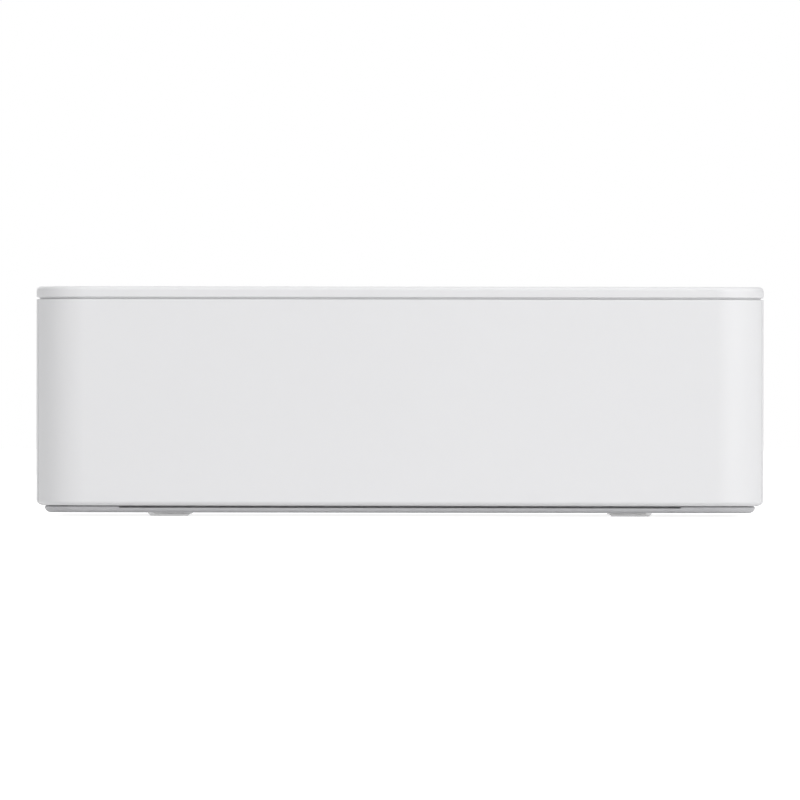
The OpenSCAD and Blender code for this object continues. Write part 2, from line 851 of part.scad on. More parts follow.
module motor_bracket() {
    color(steel)
        difference() {
            block([bracket_x, plate_y0 - 1, 20], [bracket_x + 1.2, 34, 49]);
            rod_x(bracket_x - 1, bracket_x + 2, motor_at, 3);
            rod_x(bracket_x - 1, bracket_x + 2, lift_at, 3);
            rod_x(bracket_x - 1, bracket_x + 2, cam_at, 3);
        }
}

// Round motor can with a bearing boss and a bore for its shaft
module motor_can(at, r) {
    color(steel)
        difference() {
            union() {
                rod_x(bracket_x - motor_len, bracket_x, at, r);
                rod_x(bracket_x - motor_len - 1.2, bracket_x, at, 3.4);
            }
            rod_x(bracket_x - motor_len + 3, bracket_x + 1, at, 1 + run_gap);
        }
}

module drive_motor() { motor_can(motor_at, 11); }
module lift_motor() { motor_can(lift_at, 8.5); }

module fan_frame() {
    color(black)
        difference() {
            block([fan_x, fan_at[0] - fan_size / 2, fan_at[1] - fan_size / 2],
                [fan_x + 8, fan_at[0] + fan_size / 2, fan_at[1] + fan_size / 2]);
            difference() {
                rod_x(fan_x - cut, fan_x + 9, fan_at, fan_size / 2 - 1);
                rod_x(fan_x, fan_x + 1.2, fan_at, 6);
                for (a = [0:120:240])
                    along_x(fan_x, fan_at)
                        rotate([0, 0, a + 30])
                            translate([0, -1, 0])
                                cube([fan_size, 2, 1.2]);
            }
            rod_x(fan_x - cut, fan_x + 2, fan_at, 1 + run_gap);
            for (y = [-1, 1], z = [-1, 1])
                rod_x(fan_x - cut, fan_x + 9, fan_at + [y * 12, z * 12], 1.3);
        }
}

module fan_rotor() {
    blades = 7;
    color(dark_grey) {
        rod_x(fan_x + 1.6, fan_x + 7.4, fan_at, 5.5);
        rod_x(fan_x, fan_x + 2, fan_at, 1);
        for (i = [0:blades - 1])
            along_x(fan_x + 4.5, fan_at)
                rotate([0, 0, i * 360 / blades])
                    translate([4.5, 0, 0])
                        rotate([35, 0, 0])
                            translate([0, -3, -0.4])
                                cube([7.2, 6, 0.8]);
    }
}

// ---- Boards and sockets ----

module main_board() {
    color(board_green) {
        block([-54, 4, board_z], [54, 60, board_top]);
        // Chips and capacitors
        block([-18, 14, board_top - 0.1], [-2, 30, board_top + 1.4]);
        block([8, 40, board_top - 0.1], [18, 52, board_top + 1.2]);
        for (y = [38, 46])
            translate([-36, y, board_top - 0.1])
                cylinder(h = 2.6, r = 3);
    }
}

module dc_jack() {
    z = board_top + 4.1;
    color(black)
        difference() {
            block([jack_x - 4.5, 51, board_top], [jack_x + 4.5, half_d - wall + 0.1, board_top + 7.8]);
            rod_y(54, half_d, jack_x, z, 2.9);
        }
    color(steel)
        rod_y(53, half_d - wall - 1, jack_x, z, 0.8);
}

module io_board() {
    color(board_green)
        block([64.5, -44, 29], [87.2, -12.5, 30.6]);
}

module card_slot() {
    color(steel)
        difference() {
            block([66, -41, 30.6], [half_w - wall, -15, 33.8]);
            block([68, -40.1, 31], [half_w, -15.9, 33.2]);
        }
}

module usb_socket() {
    color(steel)
        difference() {
            block([75, -34.9, 22.9], [half_w - wall, -21.9, 29]);
            block([77, -34.5, 23.3], [half_w, -22.3, 28.5]);
        }
    color(black)
        block([76.5, -34, 26.4], [half_w - wall - 1.5, -22.8, 28.2]);
}

// ---- Thermal head, drawn lowered and then lifted about its pivot ----

module lifted() {
    translate([0, head_pivot[0], head_pivot[1]])
        rotate([-head_lift, 0, 0])
            translate([0, -head_pivot[0], -head_pivot[1]])
                children();
}

module head_frame() {
    color(steel)
        lifted()
            difference() {
                union() {
                    block([-58.2, 1, 42.5], [58.2, 55, 43.7]);
                    for (s = [-1, 1]) {
                        block([s * 49 - 5, -13, 42.5], [s * 49 + 5, 1.1, 43.7]);
                        block([s * 57.6 - 0.6, 49.4, 42.5], [s * 57.6 + 0.6, 55.4, 48.4]);
                    }
                }
                rod_x(-60, 60, head_pivot, 1.5 + run_gap);
                block([-30, 8, 42], [30, 20, 44]);
            }
}

module heat_sink() {
    y = platen_at[0];
    color(aluminium)
        lifted()
            difference() {
                block([-50, y - 4, 22.3], [50, y + 4, 42.5]);
                for (i = [0:4], side = [[-5, -1.6], [1.6, 5]])
                    block([-51, y + side[0], 26 + i * 3], [51, y + side[1], 27.6 + i * 3]);
            }
}

module thermal_head() {
    y = platen_at[0];
    color(gear_white)
        lifted()
            union() {
                block([-51.5, y - 3.2, 21.2], [51.5, y + 3.2, 22.3]);
                block([-51.5, y - 0.8, 20.9], [51.5, y + 0.8, 21.3]);
            }
}

module cam_shaft() {
    color(steel)
        rod_x(gear_b_x, shaft_end_x, cam_at, shaft_r);
    color(gear_white)
        for (s = [-1, 1])
            rod_x(s * 49 - 3, s * 49 + 3, cam_at + [0, cam_throw], cam_r);
}

module cam_gear() {
    color(gear_white)
        gear(gear_b_x, cam_at, cam_teeth, 0, shaft_r);
}

// Pinion moulded on its motor's shaft
module motor_pinion(at, phase) {
    color(gear_white)
        along_x(gear_b_x, at)
            linear_extrude(gear_w)
                polygon(gear_points(motor_teeth, phase));
    color(steel)
        rod_x(bracket_x - motor_len + 3.5, gear_b_x + 0.5, at, 1);
}

module lift_pinion() { motor_pinion(lift_at, lift_phase); }
module drive_pinion() { motor_pinion(motor_at, motor_phase); }

// ---- Rollers and gears ----

module reduction_gear() {
    color(gear_white) {
        gear(gear_a_x, idler_at, drive_teeth, idler_phase, 1.5 + run_gap);
        gear(gear_b_x, idler_at, reduction_teeth, idler_phase, 1.5 + run_gap);
        difference() {
            rod_x(gear_b_x + gear_w - 0.1, gear_a_x + 0.1, idler_at, 4);
            rod_x(gear_b_x, gear_a_x + 1, idler_at, 1.5 + run_gap);
        }
    }
}

module platen_shaft() {
    color(steel)
        rod_x(gear_a_x, shaft_end_x, platen_at, shaft_r);
}

module platen_rubber() {
    color(rubber_grey)
        difference() {
            rod_x(-platen_len / 2, platen_len / 2, platen_at, platen_r);
            rod_x(-platen_len, platen_len, platen_at, shaft_r);
        }
}

module platen_gear() {
    color(gear_white)
        gear(gear_a_x, platen_at, drive_teeth, platen_phase, shaft_r);
}

module feed_roller() {
    color(steel) {
        rod_x(gear_a_x, shaft_end_x, feed_at, shaft_r);
        rod_x(-51, 51, feed_at, platen_r);
    }
}

module feed_gear() {
    color(gear_white)
        gear(gear_a_x, feed_at, drive_teeth, feed_phase, shaft_r);
}

module pinch_roller() {
    color(steel) {
        rod_x(-50, 50, pinch_at, pinch_r);
        rod_x(-54, 54, pinch_at, 1.2);
    }
}

module pickup_roller() {
    color(steel)
        rod_x(gear_a_x, shaft_end_x, pickup_at, shaft_r);
    color(rubber_grey)
        for (s = [-1, 1])
            rod_x(s * 16 - 6, s * 16 + 6, pickup_at, pickup_r);
}

module pickup_gear() {
    color(gear_white)
        gear(gear_a_x, pickup_at, pickup_teeth, pickup_phase, shaft_r);
}

module take_up_idler() {
    color(gear_white)
        gear(gear_a_x, take_up_idler_at, take_up_idler_teeth, link_phase, 1.5 + run_gap);
}

module take_up_gear() {
    color(gear_white) {
        along_x(gear_a_x, take_up_at)
            linear_extrude(gear_w)
                polygon(gear_points(take_up_teeth, take_up_phase));
        rod_x(gear_a_x + gear_w - 0.1, -plate_x + 0.4, take_up_at, 4.2);
        // Dog that turns the take-up spool
        rod_x(-plate_x, -tube_x + 3, take_up_at, 1.6);
        block([-plate_x, take_up_at[0] - 2.4, take_up_at[1] - 0.5],
            [-tube_x + 3, take_up_at[0] + 2.4, take_up_at[1] + 0.5]);
    }
}

// ---- Ink cassette ----

// Half-open tube round a spool
module spool_tube(at, r) {
    difference() {
        rod_x(-tube_x, tube_x + 0.5, at, r);
        rod_x(-tube_x + 1, tube_x, at, r - tube_t);
        rod_x(-tube_x - cut, -tube_x + 2, at, hub_r + run_gap);
    }
}

module ink_cassette() {
    color(black)
        difference() {
            union() {
                spool_tube(supply_at, supply_tube_r);
                spool_tube(take_up_at, take_up_tube_r);
                block([tube_x, supply_at[0] - 9, 21.4], [handle_x1, take_up_at[0] + 8.4, 39.6]);
                for (i = [0:4])
                    block([handle_x1 - 0.1, 22 + i * 2.4, 26], [handle_x1 + 0.8, 23.2 + i * 2.4, 36]);
            }
            // Slots that the ribbon runs through
            block([-ribbon_half - 1, supply_at[0], 20], [ribbon_half + 1, supply_at[0] + 12, 25.4]);
            block([-ribbon_half - 1, take_up_at[0] - 10, 20], [ribbon_half + 1, take_up_at[0] - 1, 27]);
            rod_x(tube_x - cut, tube_x + 4, supply_at, 2.5 + run_gap);
            rod_x(tube_x - cut, tube_x + 4, take_up_at, 2.5 + run_gap);
        }
}

module ink_ribbon() {
    color([0.45, 0.1, 0.35])
        web([
            [supply_at[0] + 2.5, supply_at[1] - 7.3], [supply_at[0] + 9, paper_z + 0.4],
            [take_up_at[0] - 8, paper_z + 0.4], [take_up_at[0] - 6, take_up_at[1] - 4.5]
        ], 0.2);
}

// Spool with its winding and end flanges
module spool(at, roll_r) {
    color([0.35, 0.12, 0.3])
        rod_x(-ribbon_half, ribbon_half, at, roll_r);
    color(dark_grey) {
        rod_x(-tube_x, tube_x + 3.5, at, 2.5);
        rod_x(-tube_x, -ribbon_half, at, hub_r);
        for (s = [-1, 1])
            rod_x(s * (ribbon_half + 1.2) - 0.6, s * (ribbon_half + 1.2) + 0.6, at, roll_r + 0.4);
    }
}

module supply_spool() {
    spool(supply_at, 6.8);
}

module take_up_spool() {
    difference() {
        spool(take_up_at, 5);
        // Recess for the drive dog
        rod_x(-tube_x - cut, -tube_x + 3.4, take_up_at, 1.9);
        block([-tube_x - cut, take_up_at[0] - 2.7, take_up_at[1] - 0.8],
            [-tube_x + 3.4, take_up_at[0] + 2.7, take_up_at[1] + 0.8]);
    }
}

// Lever over the cassette's end, with a thumb tab in the side opening
module eject_lever() {
    x0 = 62.8;
    y = lever_at[0];
    z = lever_at[1];
    color(pale_grey)
        difference() {
            union() {
                rod_x(x0, x0 + 4, lever_at, 3);
                block([x0, y, z - 1.6], [x0 + 2.4, y + 16, z + 1.6]);
                block([x0, y + 9.5, z - 1.6], [x0 + 12, y + 16, z + 0.2]);
                rod_y(y + 9.5, y + 16, x0 + 12, z - 0.3, 1.3);
            }
            rod_x(x0 - cut, x0 + 5, lever_at, 1.5 + run_gap);
        }
}

base_tray();
rubber_feet();
base_screws();
casing();
front_frame();
cassette_guide();
top_plate();
screen_window();
lcd_panel();
button_board();
tact_switches();
left_side_plate();
right_side_plate();
press_bar();
head_pivot_rod();
shaft_bushes();
lower_paper_guide();
pinch_holder();
main_board();
dc_jack();
io_board();
card_slot();
usb_socket();
motor_bracket();
drive_motor();
lift_motor();
fan_frame();
hinge_pins();
front_cover();
ink_cover();
head_frame();
heat_sink();
thermal_head();
cam_shaft();
cam_gear();
lift_pinion();
drive_pinion();
reduction_gear();
platen_shaft();
platen_rubber();
platen_gear();
feed_roller();
feed_gear();
pinch_roller();
pickup_roller();
pickup_gear();
take_up_idler();
take_up_gear();
ink_cassette();
ink_ribbon();
supply_spool();
take_up_spool();
eject_lever();
fan_rotor();
power_button();
menu_button();
back_button();
print_button();
direction_pad();
ok_button();
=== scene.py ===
import json
import math

import bmesh
import bpy
from mathutils import Matrix, Vector


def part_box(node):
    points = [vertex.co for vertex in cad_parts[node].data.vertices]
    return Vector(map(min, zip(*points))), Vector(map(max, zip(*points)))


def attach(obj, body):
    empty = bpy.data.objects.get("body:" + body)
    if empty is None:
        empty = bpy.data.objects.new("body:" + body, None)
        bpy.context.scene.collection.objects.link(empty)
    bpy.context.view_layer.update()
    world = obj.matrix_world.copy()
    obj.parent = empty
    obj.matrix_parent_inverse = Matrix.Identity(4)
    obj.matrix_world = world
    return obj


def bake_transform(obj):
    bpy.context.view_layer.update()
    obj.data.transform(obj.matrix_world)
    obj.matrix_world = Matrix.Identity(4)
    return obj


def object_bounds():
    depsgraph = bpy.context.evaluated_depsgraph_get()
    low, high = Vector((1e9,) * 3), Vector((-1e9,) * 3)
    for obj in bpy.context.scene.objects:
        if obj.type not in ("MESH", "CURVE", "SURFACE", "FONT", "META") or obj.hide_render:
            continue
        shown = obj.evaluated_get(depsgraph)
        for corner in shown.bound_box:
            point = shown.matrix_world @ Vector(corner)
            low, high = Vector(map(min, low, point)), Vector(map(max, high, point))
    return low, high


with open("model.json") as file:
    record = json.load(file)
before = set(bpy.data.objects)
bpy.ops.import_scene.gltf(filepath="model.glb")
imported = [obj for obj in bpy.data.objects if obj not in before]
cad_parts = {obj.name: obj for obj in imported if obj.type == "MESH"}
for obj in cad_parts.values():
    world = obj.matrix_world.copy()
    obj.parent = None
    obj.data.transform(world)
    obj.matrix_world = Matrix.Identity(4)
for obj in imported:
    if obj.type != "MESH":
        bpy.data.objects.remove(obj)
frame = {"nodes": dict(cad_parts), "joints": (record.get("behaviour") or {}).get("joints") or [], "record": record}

cad_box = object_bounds()

MM = 0.001

# Image and camera. The two marks are the body's sides in the photograph, in pixels from the left.
# The camera stands this far in front and this much over the body's middle, in metres.
IMAGE_PX = 800
BODY_LEFT_PX = 36.7
BODY_RIGHT_PX = 763.7
CAMERA_DISTANCE = 4.5
CAMERA_RISE = 0.00044
CAMERA_ROLL = math.radians(-0.085)
SENSOR = 36.0

# The body's box, as the frame gives it, and the radius of its upright corners
BODY_LOW, BODY_HIGH = cad_box
HALF_WIDTH = BODY_HIGH.x
FRONT_Y = BODY_LOW.y
CAMERA_Z = (BODY_LOW.z + BODY_HIGH.z) / 2 + CAMERA_RISE
CORNER_RADIUS = 0.012

# Thickness of the boards and of the sheet steel, and the main board's upper face, in millimetres
BOARD = 1.6
SHEET = 1.2
BOARD_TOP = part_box("main_board")[0].z / MM + BOARD

# Both ways from a middle
SIDES = (-1, 1)

# Faces that meet at less than this angle are shaded as one round, and points closer than this are one
SMOOTH_ANGLE = math.radians(34)
SAME_POINT = 1e-6


def shaft_at(joint):
    """Y and Z in millimetres of the shaft that a joint turns about."""
    place = next(entry["pos_m"] for entry in frame["joints"] if entry["name"] == joint)
    return place[1] / MM, place[2] / MM


def middle_of(node):
    """Middle of a node's box, in millimetres."""
    low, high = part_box(node)
    return (low + high) / 2 / MM


# ---- Shader maths ----

# Sockets of a Mix node that is set to colours
MIX_AMOUNT = 0
MIX_FIRST = 6
MIX_SECOND = 7
MIX_COLOR = 2


class Value:
    """A shader socket on which + - * < > and their reflected forms add Math nodes."""

    def __init__(self, finish, socket):
        self.finish = finish
        self.socket = socket

    def math(self, operation, first, second=0.0):
        """Adds one Math node."""
        return self.finish.node("ShaderNodeMath", {"operation": operation}, {0: first, 1: second})

    def __add__(self, other):
        return self.math("ADD", self, other)

    def __radd__(self, other):
        return self.math("ADD", other, self)

    def __sub__(self, other):
        return self.math("SUBTRACT", self, other)

    def __rsub__(self, other):
        return self.math("SUBTRACT", other, self)

    def __mul__(self, other):
        return self.math("MULTIPLY", self, other)

    def __rmul__(self, other):
        return self.math("MULTIPLY", other, self)

    def __gt__(self, other):
        return self.math("GREATER_THAN", self, other)

    def __lt__(self, other):
        return self.math("LESS_THAN", self, other)

    def __abs__(self):
        return self.math("ABSOLUTE", self)

    def root(self):
        return self.math("SQRT", self)

    def sine(self):
        return self.math("SINE", self)


class Finish:
    """The nodes of one material, or of the world."""

    def __init__(self, owner, output):
        owner.use_nodes = True
        self.owner = owner
        self.tree = owner.node_tree
        self.tree.nodes.clear()
        self.output = self.tree.nodes.new(output)

    def node(self, kind, settings=None, inputs=None, out=0):
        """Adds a node, sets it up, fills its sockets and gives the socket that it puts out."""
        made = self.tree.nodes.new(kind)
        for name, setting in (settings or {}).items():
            setattr(made, name, setting)
        for key, given in (inputs or {}).items():
            if isinstance(given, Value):
                self.tree.links.new(given.socket, made.inputs[key])
            else:
                made.inputs[key].default_value = given
        return Value(self, made.outputs[out])

    def ends_in(self, shader):
        self.tree.links.new(shader.socket, self.output.inputs["Surface"])
        return self.owner

    def place(self):
        return self.node("ShaderNodeTexCoord", out="Object")

    def axis(self, name):
        """One Object coordinate in metres."""
        return self.node("ShaderNodeSeparateXYZ", None, {0: self.place()}, out=name)

    def noise(self, size, detail=2.0, stretch=(1.0, 1.0, 1.0)):
        """Cloudy variation from 0 to 1, with lumps about size metres across.

        The lumps are drawn out along an axis whose stretch is small.
        """
        pulled = self.node("ShaderNodeMapping", None, {"Vector": self.place(), "Scale": stretch})
        return self.node("ShaderNodeTexNoise", None, {
            "Vector": pulled, "Scale": 1 / size, "Detail": detail})

    def cells(self, size):
        """Distance to the middle of pebble-like cells about size metres across."""
        return self.node("ShaderNodeTexVoronoi", None, {"Vector": self.place(), "Scale": 1 / size})

    def blend(self, amount, first, second):
        """Colour between two colours, by an amount from 0 to 1."""
        return self.node("ShaderNodeMix", {"data_type": "RGBA"}, {
            MIX_AMOUNT: amount, MIX_FIRST: first, MIX_SECOND: second}, out=MIX_COLOR)

    def from_line(self, **marks):
        """Distance in metres from the line on which two coordinates have these millimetre marks."""
        first, second = [self.axis(name) - mark * MM for name, mark in marks.items()]
        return (first * first + second * second).root()

    def within(self, low, high):
        """1 inside the block between two corners in millimetres, else 0."""
        mask = 1.0
        for name, start, end in zip("XYZ", low, high):
            along = self.axis(name)
            mask = mask * (along > start * MM) * (along < end * MM)
        return mask

    def principled(self, skin, **plain):
        """Ends the material in one Principled shader with the skin's colour, gloss and relief.

        Each plain setting is the same all over. Coat_Weight, for one, sets the socket Coat Weight.
        """
        inputs = {"Base Color": skin.color, "Roughness": skin.rough, "Metallic": skin.metal}
        inputs["Normal"] = self.node("ShaderNodeBump", None, {
            "Strength": 1.0, "Distance": 1.0, "Height": skin.relief})
        for name, setting in plain.items():
            inputs[name.replace("_", " ")] = setting
        return self.ends_in(self.node("ShaderNodeBsdfPrincipled", None, inputs))


class Skin:
    """Colour, roughness, metal and relief in metres of one stuff."""

    def __init__(self, color, rough, relief, metal=0.0):
        self.color = color
        self.rough = rough
        self.relief = relief
        self.metal = metal

    def under(self, finish, mask, other):
        """This stuff where the mask is 0 and the other where it is 1."""
        metal = self.metal * (1 - mask) + other.metal * mask
        rough = self.rough * (1 - mask) + other.rough * mask
        relief = self.relief * (1 - mask) + other.relief * mask
        return Skin(finish.blend(mask, self.color, other.color), rough, relief, metal)


def material(name):
    """A new material with only its output node."""
    return Finish(bpy.data.materials.new(name), "ShaderNodeOutputMaterial")


def tint(color, factor):
    """A colour made lighter or darker, with full alpha."""
    return (*[min(1.0, c * factor) for c in color], 1.0)


# ---- What the pieces are made of ----

# Base colours, as Blender's linear values
STEEL = (0.56, 0.57, 0.59)
BRIGHT_STEEL = (0.68, 0.68, 0.69)
TINPLATE = (0.66, 0.66, 0.68)
ALUMINIUM = (0.74, 0.75, 0.77)
WHITE = (0.85, 0.85, 0.862)
BUTTON_WHITE = (0.83, 0.83, 0.845)
GREY = (0.6, 0.6, 0.615)
MILKY = (0.74, 0.72, 0.65)
DARK = (0.045, 0.045, 0.05)
BLACK = (0.02, 0.02, 0.022)
ROLLER_RUBBER = (0.04, 0.04, 0.042)

# Ways in which the lines of ground or turned metal are drawn out
LENGTHWISE = (0.03, 1.0, 1.0)
CROSSWISE = (1.0, 0.03, 1.0)
UPRIGHT = (1.0, 1.0, 0.05)
ROUNDABOUT = (1.0, 0.15, 0.15)


def plastic(f, color, rough, grain, depth):
    """Moulded plastic with a fine spark-eroded grain and a slow drift of tone and gloss."""
    tone_drift = 0.008
    gloss_drift = 0.05
    pebbles = f.cells(grain) * 0.6 + f.noise(grain * 2.5) * 0.4
    shade = f.blend(f.noise(0.05), tint(color, 1 - tone_drift), tint(color, 1 + tone_drift))
    gloss = f.noise(0.03) * gloss_drift + (rough - gloss_drift / 2)
    return Skin(shade, gloss, pebbles * depth)


def metal(f, color, rough, stretch, line=0.0006):
    """Ground, drawn or turned metal with fine lines and a few darker smears."""
    line_gloss = 0.14
    smear_gloss = 0.08
    lines = f.noise(line, 3.0, stretch)
    smears = f.noise(0.012, 4.0)
    shade = f.blend(lines * 0.7 + smears * 0.3, tint(color, 0.88), tint(color, 1.08))
    gloss = lines * line_gloss + smears * smear_gloss + (rough - (line_gloss + smear_gloss) / 2)
    return Skin(shade, gloss, lines * 0.000012, 1.0)


def rubber(f, color, grain):
    """Matt rubber, ground or moulded, with a little dust in its grain."""
    speck = f.cells(grain)
    shade = f.blend(f.noise(0.002), tint(color, 0.9), tint(color, 1.15))
    return Skin(shade, speck * 0.15 + 0.68, speck * 0.00003)


def solder_resist(f):
    """Green solder resist over copper tracks, with tinned pads."""
    dark_green = (0.012, 0.105, 0.05, 1)
    light_green = (0.03, 0.17, 0.085, 1)
    tin = (0.72, 0.7, 0.66, 1)
    tracks = f.node("ShaderNodeTexBrick", {"offset": 0.5}, {
        "Vector": f.place(), "Scale": 420.0, "Mortar Size": 0.012, "Color1": (1, 1, 1, 1),
        "Color2": (0.4, 0.4, 0.4, 1), "Mortar": (0, 0, 0, 1)}, out="Fac")
    pads = f.cells(0.0032) < 0.16
    shade = f.blend(pads, f.blend(tracks, dark_green, light_green), tin)
    return Skin(shade, 0.34 - pads * 0.12, tracks * 0.00002)


def ground_shaft(f):
    """Steel shaft with fine lines round it."""
    return metal(f, STEEL, rough=0.24, stretch=ROUNDABOUT, line=0.0003)


def milky_plastic(f):
    """Uncoloured plastic of the gears and cams."""
    return plastic(f, MILKY, rough=0.34, grain=0.0006, depth=0.000004)


# ---- Finishes of the material slots ----

def moulded(name, color, rough, grain, depth, **plain):
    """Moulded plastic. Lengths here are in metres."""
    f = material(name)
    return f.principled(plastic(f, color, rough, grain, depth), **plain)


def metal_finish(name, color, rough, stretch):
    f = material(name)
    return f.principled(metal(f, color, rough, stretch))


def rubber_finish(name, color, grain):
    f = material(name)
    return f.principled(rubber(f, color, grain))


def clear_foot():
    """Clear silicone rubber with a faint milky haze."""
    f = material("clear_silicone")
    haze = f.blend(f.noise(0.004), (0.86, 0.86, 0.87, 1), (0.96, 0.96, 0.97, 1))
    gloss = f.noise(0.003) * 0.1 + 0.3
    return f.principled(Skin(haze, gloss, f.cells(0.0005) * 0.000004), Alpha=0.3)


def board_finish():
    f = material("circuit_board")
    return f.principled(solder_resist(f))


def wound_film():
    """Ribbon wound in fine layers."""
    f = material("wound_film")
    layers = f.noise(0.0004, 3.0, (0.2, 3.0, 3.0))
    shade = f.blend(layers, (0.16, 0.02, 0.09, 1), (0.3, 0.05, 0.2, 1))
    return f.principled(Skin(shade, layers * 0.1 + 0.22, layers * 0.00001), Coat_Weight=0.3)


def screen_glass():
    """Black glass, printed black round a slightly lighter display."""
    half_width = 35.2
    half_depth = 23.6
    f = material("screen_glass")
    middle = middle_of("screen_window")
    across = abs(f.axis("X") - middle.x * MM) < half_width * MM
    along = abs(f.axis("Y") - middle.y * MM) < half_depth * MM
    shade = f.blend(across * along, (0.004, 0.004, 0.005, 1), (0.016, 0.017, 0.02, 1))
    smear = f.noise(0.02, 4.0)
    return f.principled(Skin(shade, smear * 0.04 + 0.05, smear * 0.000002))


FINISHES = {
    "white_shell": moulded("white_shell", WHITE, rough=0.42, grain=0.00022, depth=0.0000035),
    "white_button": moulded("white_button", BUTTON_WHITE, rough=0.32, grain=0.0002, depth=0.000002,
                            Coat_Weight=0.15),
    "grey_plastic": moulded("grey_plastic", GREY, rough=0.5, grain=0.0003, depth=0.000008),
    "dark_plastic": moulded("dark_plastic", DARK, rough=0.5, grain=0.0003, depth=0.000012),
    "black_plastic": moulded("black_plastic", BLACK, rough=0.45, grain=0.0003, depth=0.00001),
    "gear_plastic": moulded("gear_plastic", MILKY, rough=0.36, grain=0.0006, depth=0.000004,
                            Subsurface_Weight=0.12, Subsurface_Radius=(0.001, 0.001, 0.0008)),
    "screen_glass": screen_glass(),
    "steel": metal_finish("steel", STEEL, rough=0.34, stretch=LENGTHWISE),
    "aluminium": metal_finish("aluminium", ALUMINIUM, rough=0.3, stretch=CROSSWISE),
    "foot_rubber": clear_foot(),
    "roller_rubber": rubber_finish("roller_rubber", ROLLER_RUBBER, grain=0.0002),
    "circuit_board": board_finish(),
    "ink_film": wound_film(),
}


# ---- Nodes of more than one stuff ----

# Radii in millimetres just past the bare shafts, where what sits on them starts
ROLLER_SLEEVE_FROM = 2.2
CAM_FROM = 2.05
PINION_FROM = 1.08


def tyres_on_shaft():
    """Pickup roller: ribbed rubber tyres on a ground shaft."""
    ribs_round = 44
    rib_height = 0.00012
    f = material("pickup_tyres")
    y, z = shaft_at("pickup_spin")
    tyre = f.from_line(Y=y, Z=z) > ROLLER_SLEEVE_FROM * MM
    away_y, away_z = f.axis("Y") - y * MM, f.axis("Z") - z * MM
    turn = away_y.math("ARCTAN2", away_y, away_z)
    tread = rubber(f, ROLLER_RUBBER, grain=0.0003)
    tread.relief = tread.relief + (turn * ribs_round).sine() * rib_height
    return f.principled(ground_shaft(f).under(f, tyre, tread))


def coated_feed_roller():
    """Feed roller: a bright shaft with a grit-coated grey sleeve."""
    f = material("grit_coating")
    y, z = shaft_at("feed_spin")
    sleeve = f.from_line(Y=y, Z=z) > ROLLER_SLEEVE_FROM * MM
    grit = f.cells(0.00016)
    shade = f.blend(grit, (0.2, 0.2, 0.2, 1), (0.36, 0.36, 0.35, 1))
    coating = Skin(shade, 0.62 - grit * 0.2, grit * 0.00006, 0.25)
    return f.principled(ground_shaft(f).under(f, sleeve, coating))


def cams_on_shaft():
    """Cam shaft: milky plastic eccentrics on a ground shaft."""
    f = material("cams_on_shaft")
    y, z = shaft_at("cam_turn")
    cam = f.from_line(Y=y, Z=z) > CAM_FROM * MM
    return f.principled(ground_shaft(f).under(f, cam, milky_plastic(f)))


def pinion_on_shaft(name, joint):
    """Motor pinion: a milky plastic gear on a bright motor shaft."""
    f = material(name)
    y, z = shaft_at(joint)
    gear = f.from_line(Y=y, Z=z) > PINION_FROM * MM
    shaft = metal(f, STEEL, rough=0.2, stretch=ROUNDABOUT, line=0.0002)
    return f.principled(shaft.under(f, gear, milky_plastic(f)))


def populated_board():
    """Main board: green board with black chips and, at its left end, bright capacitor cans."""
    cans_left_of = -25
    f = material("populated_board")
    part = f.axis("Z") > (BOARD_TOP + 0.05) * MM
    can = part * (f.axis("X") < cans_left_of * MM)
    black = plastic(f, BLACK, rough=0.5, grain=0.0002, depth=0.00001)
    chips = solder_resist(f).under(f, part, black)
    cans = metal(f, ALUMINIUM, rough=0.28, stretch=UPRIGHT, line=0.0003)
    return f.principled(chips.under(f, can, cans))


def jack_with_pin():
    """Power jack: black housing with a bright centre pin."""
    f = material("jack_with_pin")
    pin = f.from_line(X=44.5, Z=11.3) < 0.9 * MM
    housing = plastic(f, BLACK, rough=0.42, grain=0.0003, depth=0.00001)
    return f.principled(housing.under(f, pin, metal(f, STEEL, rough=0.2, stretch=CROSSWISE)))


def socket_with_tongue():
    """Square socket: bright shell with a black tongue."""
    f = material("socket_with_tongue")
    tongue = f.within((76.45, -34.05, 26.35), (88, -22.75, 28.25))
    shell = metal(f, BRIGHT_STEEL, rough=0.22, stretch=LENGTHWISE)
    black = plastic(f, BLACK, rough=0.45, grain=0.0003, depth=0.00001)
    return f.principled(shell.under(f, tongue, black))


def panel_in_frame():
    """Display panel: black bezel over a bright sheet metal back."""
    bezel_z = 53.1
    f = material("panel_in_frame")
    bezel = f.axis("Z") > bezel_z * MM
    back = metal(f, TINPLATE, rough=0.3, stretch=LENGTHWISE)
    black = plastic(f, BLACK, rough=0.5, grain=0.0003, depth=0.00001)
    return f.principled(back.under(f, bezel, black))


OWN_FINISHES = {
    "pickup_roller": tyres_on_shaft(),
    "feed_roller": coated_feed_roller(),
    "cam_shaft": cams_on_shaft(),
    "lift_pinion": pinion_on_shaft("lift_pinion_and_shaft", "lift_pinion_spin"),
    "drive_pinion": pinion_on_shaft("drive_pinion_and_shaft", "drive_pinion_spin"),
    "main_board": populated_board(),
    "dc_jack": jack_with_pin(),
    "usb_socket": socket_with_tongue(),
    "lcd_panel": panel_in_frame(),
}


# ---- The CAD nodes' looks ----

# Widths in metres of the rounds along the edges of the moulded nodes
SOFT_EDGED = {
    "front_cover": 0.0002, "casing": 0.0001, "top_plate": 0.0001, "base_tray": 0.00012,
    "ink_cover": 0.00012, "front_frame": 0.00025, "cassette_guide": 0.0003, "screen_window": 0.0001,
    "eject_lever": 0.0003, "ink_cassette": 0.0003,
}


def soften_edges(piece, width):
    """Rounds a piece's sharp edges a little."""
    soften = piece.modifiers.new("soft_edges", "BEVEL")
    soften.width = width
    soften.segments = 2
    soften.limit_method = "ANGLE"
    soften.angle_limit = math.radians(35)
    soften.use_clamp_overlap = True


